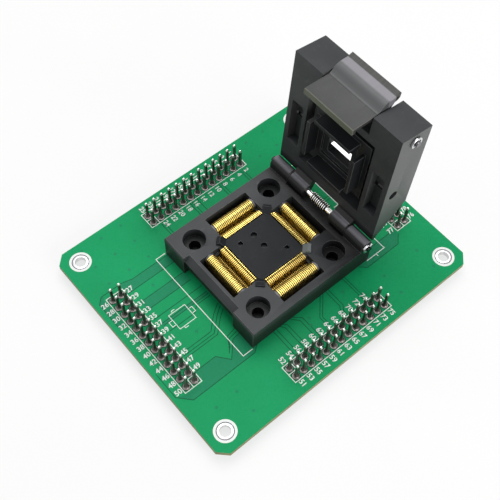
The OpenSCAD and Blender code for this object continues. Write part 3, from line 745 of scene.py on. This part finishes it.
def addCopperPattern(step):
    pattern = Solid()
    for outline in bareBands:
        patch(pattern, outline, sunkTop, boardTop + step["band"] * mm)
    for path in gapLines:
        ribbon(pattern, path, gapWidth, sunkTop, boardTop + step["gap"] * mm, False, 1)
    dot = turned([(via["foot"], -sunk), (via["pad"], step["dot"]), (via["rim"], step["dot"]),
                  (via["hole"], via["floor"]), (via["middle"], via["floor"])], 16)
    pattern.copies(dot, [(x * mm, y * mm, boardTop) for x, y in viaSpots])
    ring = turned([(padGap["outer"], -sunk), (padGap["outer"], step["dot"]),
                   (padGap["inner"], step["dot"]), (padGap["inner"], -sunk)], 16)
    for side in sides:
        pattern.copies(ring, [(x, y, boardTop) for x, y in pinPlaces(side)[1]], True, 1)
    pattern.piece("copper_pattern", "board_and_base", "board", [bareGreen, gapGreen], 0)


addCopperPattern(maskStep)
print("copper pattern laid")


ink = {"width": 0.2, "thin": 0.16, "thick": 0.028, "text": 1.38, "bold": 0.045, "letterScale": 1.42}
socketOutline = {"front": -21.8, "rear": 27.3, "side": 17.95, "frontEnd": -18.8, "rearLeft": 21.6,
                 "rearRight": 20.9, "spur": 24.3, "spurLength": 0.8, "notch": 1.6}
smallPart = {"x": (-29.3, -24.2), "y": (-2.1, 2.7), "bracket": (-0.5, 1.1), "off": (0.2, 1.1),
             "hook": (-28.0, -27.0), "hookRise": 0.6}
# the cell round the first or last pin of a header's inner row, in pitches from the middle of its strip
markedCell = {"front": (0, 1, -6.5, -5.5), "rear": (0, -1, -6.5, -5.5),
              "left": (-6.5, -5.5, 0, -1), "right": (-6.5, -5.5, 0, 1)}
cellGap = {"start": 0.1, "end": 0.04}  # how far its lines stay from the header's outline
holeRing = {"outer": 2.95, "inner": 2.3, "pad": 2.28, "slope": 2.06, "step": 2.02, "outside": 1.61,
            "inside": 1.57, "wall": 0.035, "lift": 0.006, "grooveEdge": 2.05, "grooveLift": 0.012}


def holeSpots():
    # the four mounting holes, from the record
    mounts = {mount["name"]: mount for mount in frame["record"]["mounts"]}
    dims = mounts["board_mounting_holes"]["dims"]
    x, y = dims["spacing_x_mm"] / 2, dims["spacing_y_mm"] / 2
    return [(sx * x * mm, sy * y * mm, boardTop) for sx in (-1, 1) for sy in (-1, 1)]


def addPrint(i, o, part):
    high = boardTop + i["thick"] * mm
    printed = Solid()

    def line(path, loop=False, width=i["width"]):
        ribbon(printed, path, width, sunkTop, high, loop)

    # the outline of each header, with the two inner sides of its marked cell
    pitch, reach = pins["pitch"], pins["pitch"] * pins["columns"] / 2
    for side in sides:
        middle, spots = pinPlaces(side)
        cx, cy = middle[0] / mm, middle[1] / mm
        across = side in ("front", "rear")
        halfX, halfY = (pitch, reach) if across else (reach, pitch)
        left, right, low, top = cx - halfX, cx + halfX, cy - halfY, cy + halfY
        line([(left, low), (right, low), (right, top), (left, top)], True)
        x0, x1, y0, y1 = (v * pitch for v in markedCell[side])
        if across:
            x1, y0 = x1 - cellGap["end"] * x1, y0 + cellGap["start"]
            line([(cx + x0, cy + y0), (cx + x0, cy + y1), (cx + x1, cy + y1)])
        else:
            x0, y1 = x0 + cellGap["start"], y1 - cellGap["end"] * y1
            line([(cx + x0, cy + y0), (cx + x1, cy + y0), (cx + x1, cy + y1)])
    # the socket's outline, open where the housing covers it, with a spur and a notch mark
    front, rear, s = o["front"], o["rear"], o["side"]
    line([(o["frontEnd"], s), (front, s), (front, -s), (o["frontEnd"], -s)])
    line([(o["rearLeft"], s), (rear, s), (rear, -s), (o["rearRight"], -s)])
    line([(o["spur"], -s), (o["spur"], -s - o["spurLength"])])
    line([(rear, 0), (rear - o["notch"], 0)])
    # outline of a small part, with a bracket at the middle of each end and a hook on each long side
    (left, right), (low, top), (near, far) = part["x"], part["y"], part["off"]
    line([(left, low), (right, low), (right, top), (left, top)], True, i["thin"])
    for x, way in ((left, -1), (right, 1)):
        start, end, (below, above) = x + way * near, x + way * far, part["bracket"]
        line([(start, below), (end, below), (end, above), (start, above)], False, i["thin"])
    start, end = part["hook"]
    for y, rise in ((top, part["hookRise"]), (low, -part["hookRise"])):
        line([(start, y), (start, y + rise), (end, y + rise)], False, i["thin"])
    ring = turned([(holeRing["outer"], -sunk), (holeRing["outer"], i["thick"]),
                   (holeRing["inner"], i["thick"]), (holeRing["inner"], -sunk)], 48)
    printed.copies(ring, holeSpots(), True)
    printed.piece("white_lines", "board_and_base", "board", [inkWhite], 30)


addPrint(ink, socketOutline, smallPart)


def addHoleLining(h):
    # plated ring and barrel of each mounting hole, one section swept round, and a ring of painted shade at the
    # pad's edge, as in a groove
    under = (boardUnder - boardTop) / mm - h["wall"]
    section = [(h["inside"], under), (h["pad"], under), (h["pad"], under + h["wall"]),
               (h["outside"], under + h["wall"]), (h["outside"], -sunk), (h["pad"], -sunk),
               (h["pad"], h["lift"]), (h["slope"], h["lift"]), (h["step"], h["wall"]),
               (h["inside"], h["wall"])]
    ring = [(h["pad"], -sunk), (h["pad"], h["grooveLift"]), (h["grooveEdge"], h["grooveLift"]),
            (h["grooveEdge"], -sunk)]
    linings = Solid().copies(turned(section, 48), holeSpots(), True)
    linings.copies(turned(ring, 48), holeSpots(), True, 1)
    linings.piece("hole_linings", "board_and_base", "pins", [holePlate, grooveShade], 40)


addHoleLining(holeRing)


def flatWord(words, size, centre, turn, bold):
    # a flat word over the board, centred on its place and turned about Z
    curve = bpy.data.curves.new("word", "FONT")
    curve.body = words
    curve.size = size * mm * ink["letterScale"]
    curve.align_x, curve.align_y = "CENTER", "CENTER"
    curve.offset = bold * mm
    curve.resolution_u = 3
    thing = bpy.data.objects.new("word", curve)
    bpy.context.scene.collection.objects.link(thing)
    bpy.context.view_layer.update()
    flat = bpy.data.meshes.new_from_object(thing.evaluated_get(bpy.context.evaluated_depsgraph_get()))
    bpy.data.objects.remove(thing)
    bpy.data.curves.remove(curve)
    spot = Matrix.Translation((centre[0] * mm, centre[1] * mm, boardTop + ink["thick"] * mm))
    flat.transform(spot @ Matrix.Rotation(turn, 4, "Z"))
    return flat


# each header's numbers: the first of them, the way they run along an axis, and the way to the inner row
numbering = {"left": (1, -1, "x", -1), "front": (26, -1, "y", 1),
             "right": (51, 1, "x", 1), "rear": (76, 1, "y", -1)}
numberOff = {"outer": -3.75, "inner": 3.95}  # from the middle of the strip


def labelWords():
    # two numbers to a column, one beside each row and both read square to it; the last inner pin has none
    words = []
    last = pins["columns"] - 1
    for side, (first, way, axis, inward) in numbering.items():
        middle, spots = pinPlaces(side)
        cx, cy = middle[0] / mm, middle[1] / mm
        for column in range(pins["columns"]):
            run = (column - last / 2) * pins["pitch"] * way
            for step, row in enumerate(("outer", "inner")):
                if row == "inner" and column == last:
                    continue
                off = numberOff[row] * inward
                spot = (cx + run, cy + off) if axis == "x" else (cx + off, cy + run)
                words.append((str(first + 2 * column + step), spot, -math.pi / 2 if axis == "x" else 0.0))
    return words


def addNumbers(i):
    # all the words in one mesh, each pushed down to just under the board's top
    work = bmesh.new()
    for words, spot, turn in labelWords():
        flat = flatWord(words, i["text"], spot, turn, i["bold"])
        work.from_mesh(flat)
        bpy.data.meshes.remove(flat)
    mesh = bpy.data.meshes.new("pin_numbers")
    grown = bmesh.ops.extrude_face_region(work, geom=work.faces[:])
    lowered = [v for v in grown["geom"] if isinstance(v, bmesh.types.BMVert)]
    bmesh.ops.translate(work, verts=lowered, vec=(0, 0, -(i["thick"] + sunk) * mm))
    bmesh.ops.recalc_face_normals(work, faces=work.faces)
    work.to_mesh(mesh)
    work.free()
    place("pin_numbers", mesh, "board_and_base", "board", [inkWhite], 0)


addNumbers(ink)
print("print laid")


hingeCoil = {"r": 1.1, "half": 2.75, "turns": 9.25, "wire": 0.17, "leg": (3.2, 0.35), "bend": 0.24,
             "tang": 1.35, "tangEnd": 6.5}


def addHingeSpring(c):
    # up a leg, round a coil where x = r cos a, z = r sin a and y falls evenly with a, out along Y on a tang
    a = np.linspace(0, 2 * math.pi * c["turns"], int(c["turns"] * 24) + 1)
    half, bend = c["half"], c["bend"]
    coil = np.stack([c["r"] * np.cos(a), half - 2 * half * a / a[-1], c["r"] * np.sin(a)], -1)
    leg = [(c["r"], half, -z) for z in np.linspace(*c["leg"], 8)]
    tang = [(-bend, -half - bend, (c["r"] + c["tang"]) / 2), (-1.5 * bend, -half - 2.2 * bend, c["tang"]),
            (-1.5 * bend, -half - 4 * bend, c["tang"]), (-1.5 * bend, -c["tangEnd"], c["tang"])]
    path = np.concatenate([leg, coil, tang]) * mm + hingeAxis
    spring = Solid().rings(wireGrid(path, c["wire"] * mm, 12))
    spring = spring.piece("hinge_coil", None, "steel", [hingeWire], 60)
    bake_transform(spring)
    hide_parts("hinge_spring")


addHingeSpring(hingeCoil)

# springs on the lid: out and along from the hinge axis, across from its middle
latchCoil = {"out": 9.1, "along": (34.36, 39.62), "r": 0.8, "turns": 5, "wire": 0.16, "hold": (35.0, 39.4)}
plateCoils = {"out": (6.25, 8.95), "along": (11.8, 27.0), "across": (-7.6, 7.6), "r": 0.85, "turns": 3,
              "wire": 0.15}
flatTurns = 0.8  # at each end of a push spring


def pushSpring(start, end, c):
    # start + (end - start) rise + r (cos a, sin a): rise grows with a, but not over the flat turns
    heading = (end - start) / np.linalg.norm(end - start)
    across = np.array((0.0, 1.0, 0.0))
    other = np.cross(heading, across)
    allTurns = c["turns"] + 2 * flatTurns
    a = np.linspace(0, 2 * math.pi * allTurns, int(allTurns * 20) + 1)[:, None]
    rise = np.clip((a / (2 * math.pi) - flatTurns) / c["turns"], 0, 1)
    path = start + (end - start) * rise + c["r"] * mm * (np.cos(a) * across + np.sin(a) * other)
    return wireGrid(path, c["wire"] * mm, 8)


def addPushSprings(latch, plate):
    # the latch's push spring, and the four small ones behind the pressure plate
    low, high = (onLid(latch["out"], 0, along) for along in latch["along"])
    spring = Solid().rings(pushSpring(low, high, latch)).piece("latch_coil", None, "steel", [springSteel], 60)
    low, high = (onLid(latch["out"], 0, along) for along in latch["hold"])
    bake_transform(spring)
    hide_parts("latch_spring")
    group = Solid()
    for across in plate["across"]:
        for along in plate["along"]:
            low, high = (onLid(out, across, along) for out in plate["out"])
            group.rings(pushSpring(low, high, plate))
    coils = group.piece("plate_coils", None, "steel", [springSteel], 60)
    low, high = (onLid(out, 0, sum(plate["along"]) / 2) for out in plate["out"])
    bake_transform(coils)
    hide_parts("pressure_springs")


addPushSprings(latchCoil, plateCoils)

platePin = {"out": 4.5, "along": 18.3, "r": 0.74, "half": 15.75, "bare": 3.75, "runOut": 0.05, "flat": 0.24,
            "tilt": 45}


def addPlatePin(p):
    # a round rod across the lid: over its bare middle the section is cut off by a flat that faces out and up
    a = np.linspace(0, 2 * math.pi, 32, endpoint=False)
    tilt = math.radians(p["tilt"])
    down, over = np.cos(a) * p["r"], np.sin(a) * p["r"]  # toward the flat and along it
    ends, bare, runOut = p["half"], p["bare"], p["bare"] + p["runOut"]
    stations = [(-ends, p["r"]), (-runOut, p["r"]), (-bare, p["flat"]), (bare, p["flat"]), (runOut, p["r"]),
                (ends, p["r"])]
    grid = []
    for y, most in stations:
        cut = np.minimum(down, most)
        out = -cut * math.cos(tilt) + over * math.sin(tilt)
        along = cut * math.sin(tilt) + over * math.cos(tilt)
        grid.append(onLid(p["out"] + out, y, p["along"] + along))
    rod = Solid().rings(np.array(grid)).piece("plate_pin_milled", "lid", "steel", [plateRod], 30)
    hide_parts("pressure_plate_pin")


addPlatePin(platePin)

# angles in degrees; each grip has its middle and its half width
clip = {"outer": 1.65, "slot": 1.16, "grip": 0.61, "thick": 0.5, "open": 34, "seat": 0.48, "edge": 0.06,
        "dip": 0.12, "step": 5, "grips": ((0, 48), (180, 20), (360, 48))}
clippedPins = {"hinge": (hingeAxis, -60, "board_and_base"), "latch": (latchAxis, 110, "lid")}


def addClip(c, pin, axis, lean, body):
    # an E-shaped ring: the inner edge is a wide slot that steps in to grip the groove at three places
    a = np.radians(np.linspace(c["open"], 360 - c["open"], 97))
    grips = np.zeros_like(a)
    for middle, half in c["grips"]:
        off = np.abs(a - math.radians(middle))
        grips = np.maximum(grips, np.clip((math.radians(half) - off) / math.radians(c["step"]), 0, 1))
    inner = c["slot"] + (c["grip"] - c["slot"]) * grips
    outer = c["outer"] - c["dip"] * grips
    edge, y0 = c["edge"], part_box(pin + "_pin")[0].y / mm + c["seat"]
    y1 = y0 + c["thick"]
    section = [(inner + edge, y0), (outer - edge, y0), (outer, y0 + edge), (outer, y1 - edge),
               (outer - edge, y1), (inner + edge, y1), (inner, y1 - edge), (inner, y0 + edge)]
    a = a + math.radians(lean)
    rings = [np.stack([r * np.cos(a), np.full_like(a, y), -r * np.sin(a)], -1) for r, y in section]
    grid = np.stack(rings, 1) * mm + np.array((axis[0], 0, axis[2]))
    ring = Solid().rings(grid).piece(pin + "_clip_ring", body, "steel", [brightSteel], 40)
    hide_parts(pin + "_pin_clip")


for pin, (axis, lean, body) in clippedPins.items():
    addClip(clip, pin, axis, lean, body)
print("springs and clips wound")


studio = {
    "sky": 0.34,
    "lamps": [  # name, place and target in metres, width and power
        ("overhead", (0.14, 0.15, 0.56), (0, 0, 0), 0.45, 2.3),
        ("rightFill", (0.05, -0.62, 0.26), (0, 0, 0.02), 0.42, 2.5),
        ("leftFill", (-0.45, 0.45, 0.45), (0, 0, 0), 0.4, 0.5),
    ],
}


def addLamp(name, spot, target, size, power):
    data = bpy.data.lights.new(name, "AREA")
    data.size = size
    data.energy = power
    lamp = bpy.data.objects.new(name, data)
    lamp.location = spot
    lamp.rotation_euler = (Vector(target) - Vector(spot)).to_track_quat("-Z", "Y").to_euler()
    bpy.context.scene.collection.objects.link(lamp)


def seenWhite(f):
    # 1 for the rays of the camera, of mirrors and of glass
    rays = f.add("ShaderNodeLightPath")
    return rays.out("Is Camera Ray").either(rays.out("Is Glossy Ray")).either(rays.out("Is Transmission Ray"))


def addStudio(s):
    for lamp in s["lamps"]:
        addLamp(*lamp)
    world = bpy.data.worlds.new("studio")
    bpy.context.scene.world = world
    f = Finish("studio", world)
    soft = f.add("ShaderNodeBackground", None, {"Color": (1, 1, 1, 1), "Strength": s["sky"]})
    white = f.add("ShaderNodeBackground", None, {"Color": (1, 1, 1, 1), "Strength": 1.0})
    seen = f.add("ShaderNodeMixShader", None, {0: seenWhite(f), 1: soft, 2: white})
    f.add("ShaderNodeOutputWorld", None, {"Surface": seen})


table = {"ownWhite": 0.72, "half": 3.0, "under": 0.00005}


def addTable(t):
    # a wide pale table; part of its white is its own, and the rest takes the shadow
    f = Finish("table top")
    mottle = f.noise(f.place(), 14, 3)
    pale = f.blend(f.spread(mottle), (0.86, 0.86, 0.86), (0.9, 0.9, 0.895))
    matt = f.add("ShaderNodeBsdfPrincipled", None,
                 {"Base Color": pale, "Roughness": 0.7, "Specular IOR Level": 0.2})
    glow = f.add("ShaderNodeEmission", None, {"Color": (1, 1, 1, 1), "Strength": 1.0})
    seen = f.add("ShaderNodeMixShader", None, {0: seenWhite(f) * t["ownWhite"], 1: matt, 2: glow})
    f.add("ShaderNodeOutputMaterial", None, {"Surface": seen})
    mesh = bpy.data.meshes.new("table")
    h, low = t["half"], -t["under"]
    mesh.from_pydata([(-h, -h, low), (h, -h, low), (h, h, low), (-h, h, low)], [], [(0, 1, 2, 3)])
    mesh.materials.append(f.material)
    top = bpy.data.objects.new("table", mesh)
    bpy.context.scene.collection.objects.link(top)


addStudio(studio)
addTable(table)
print("studio lit")
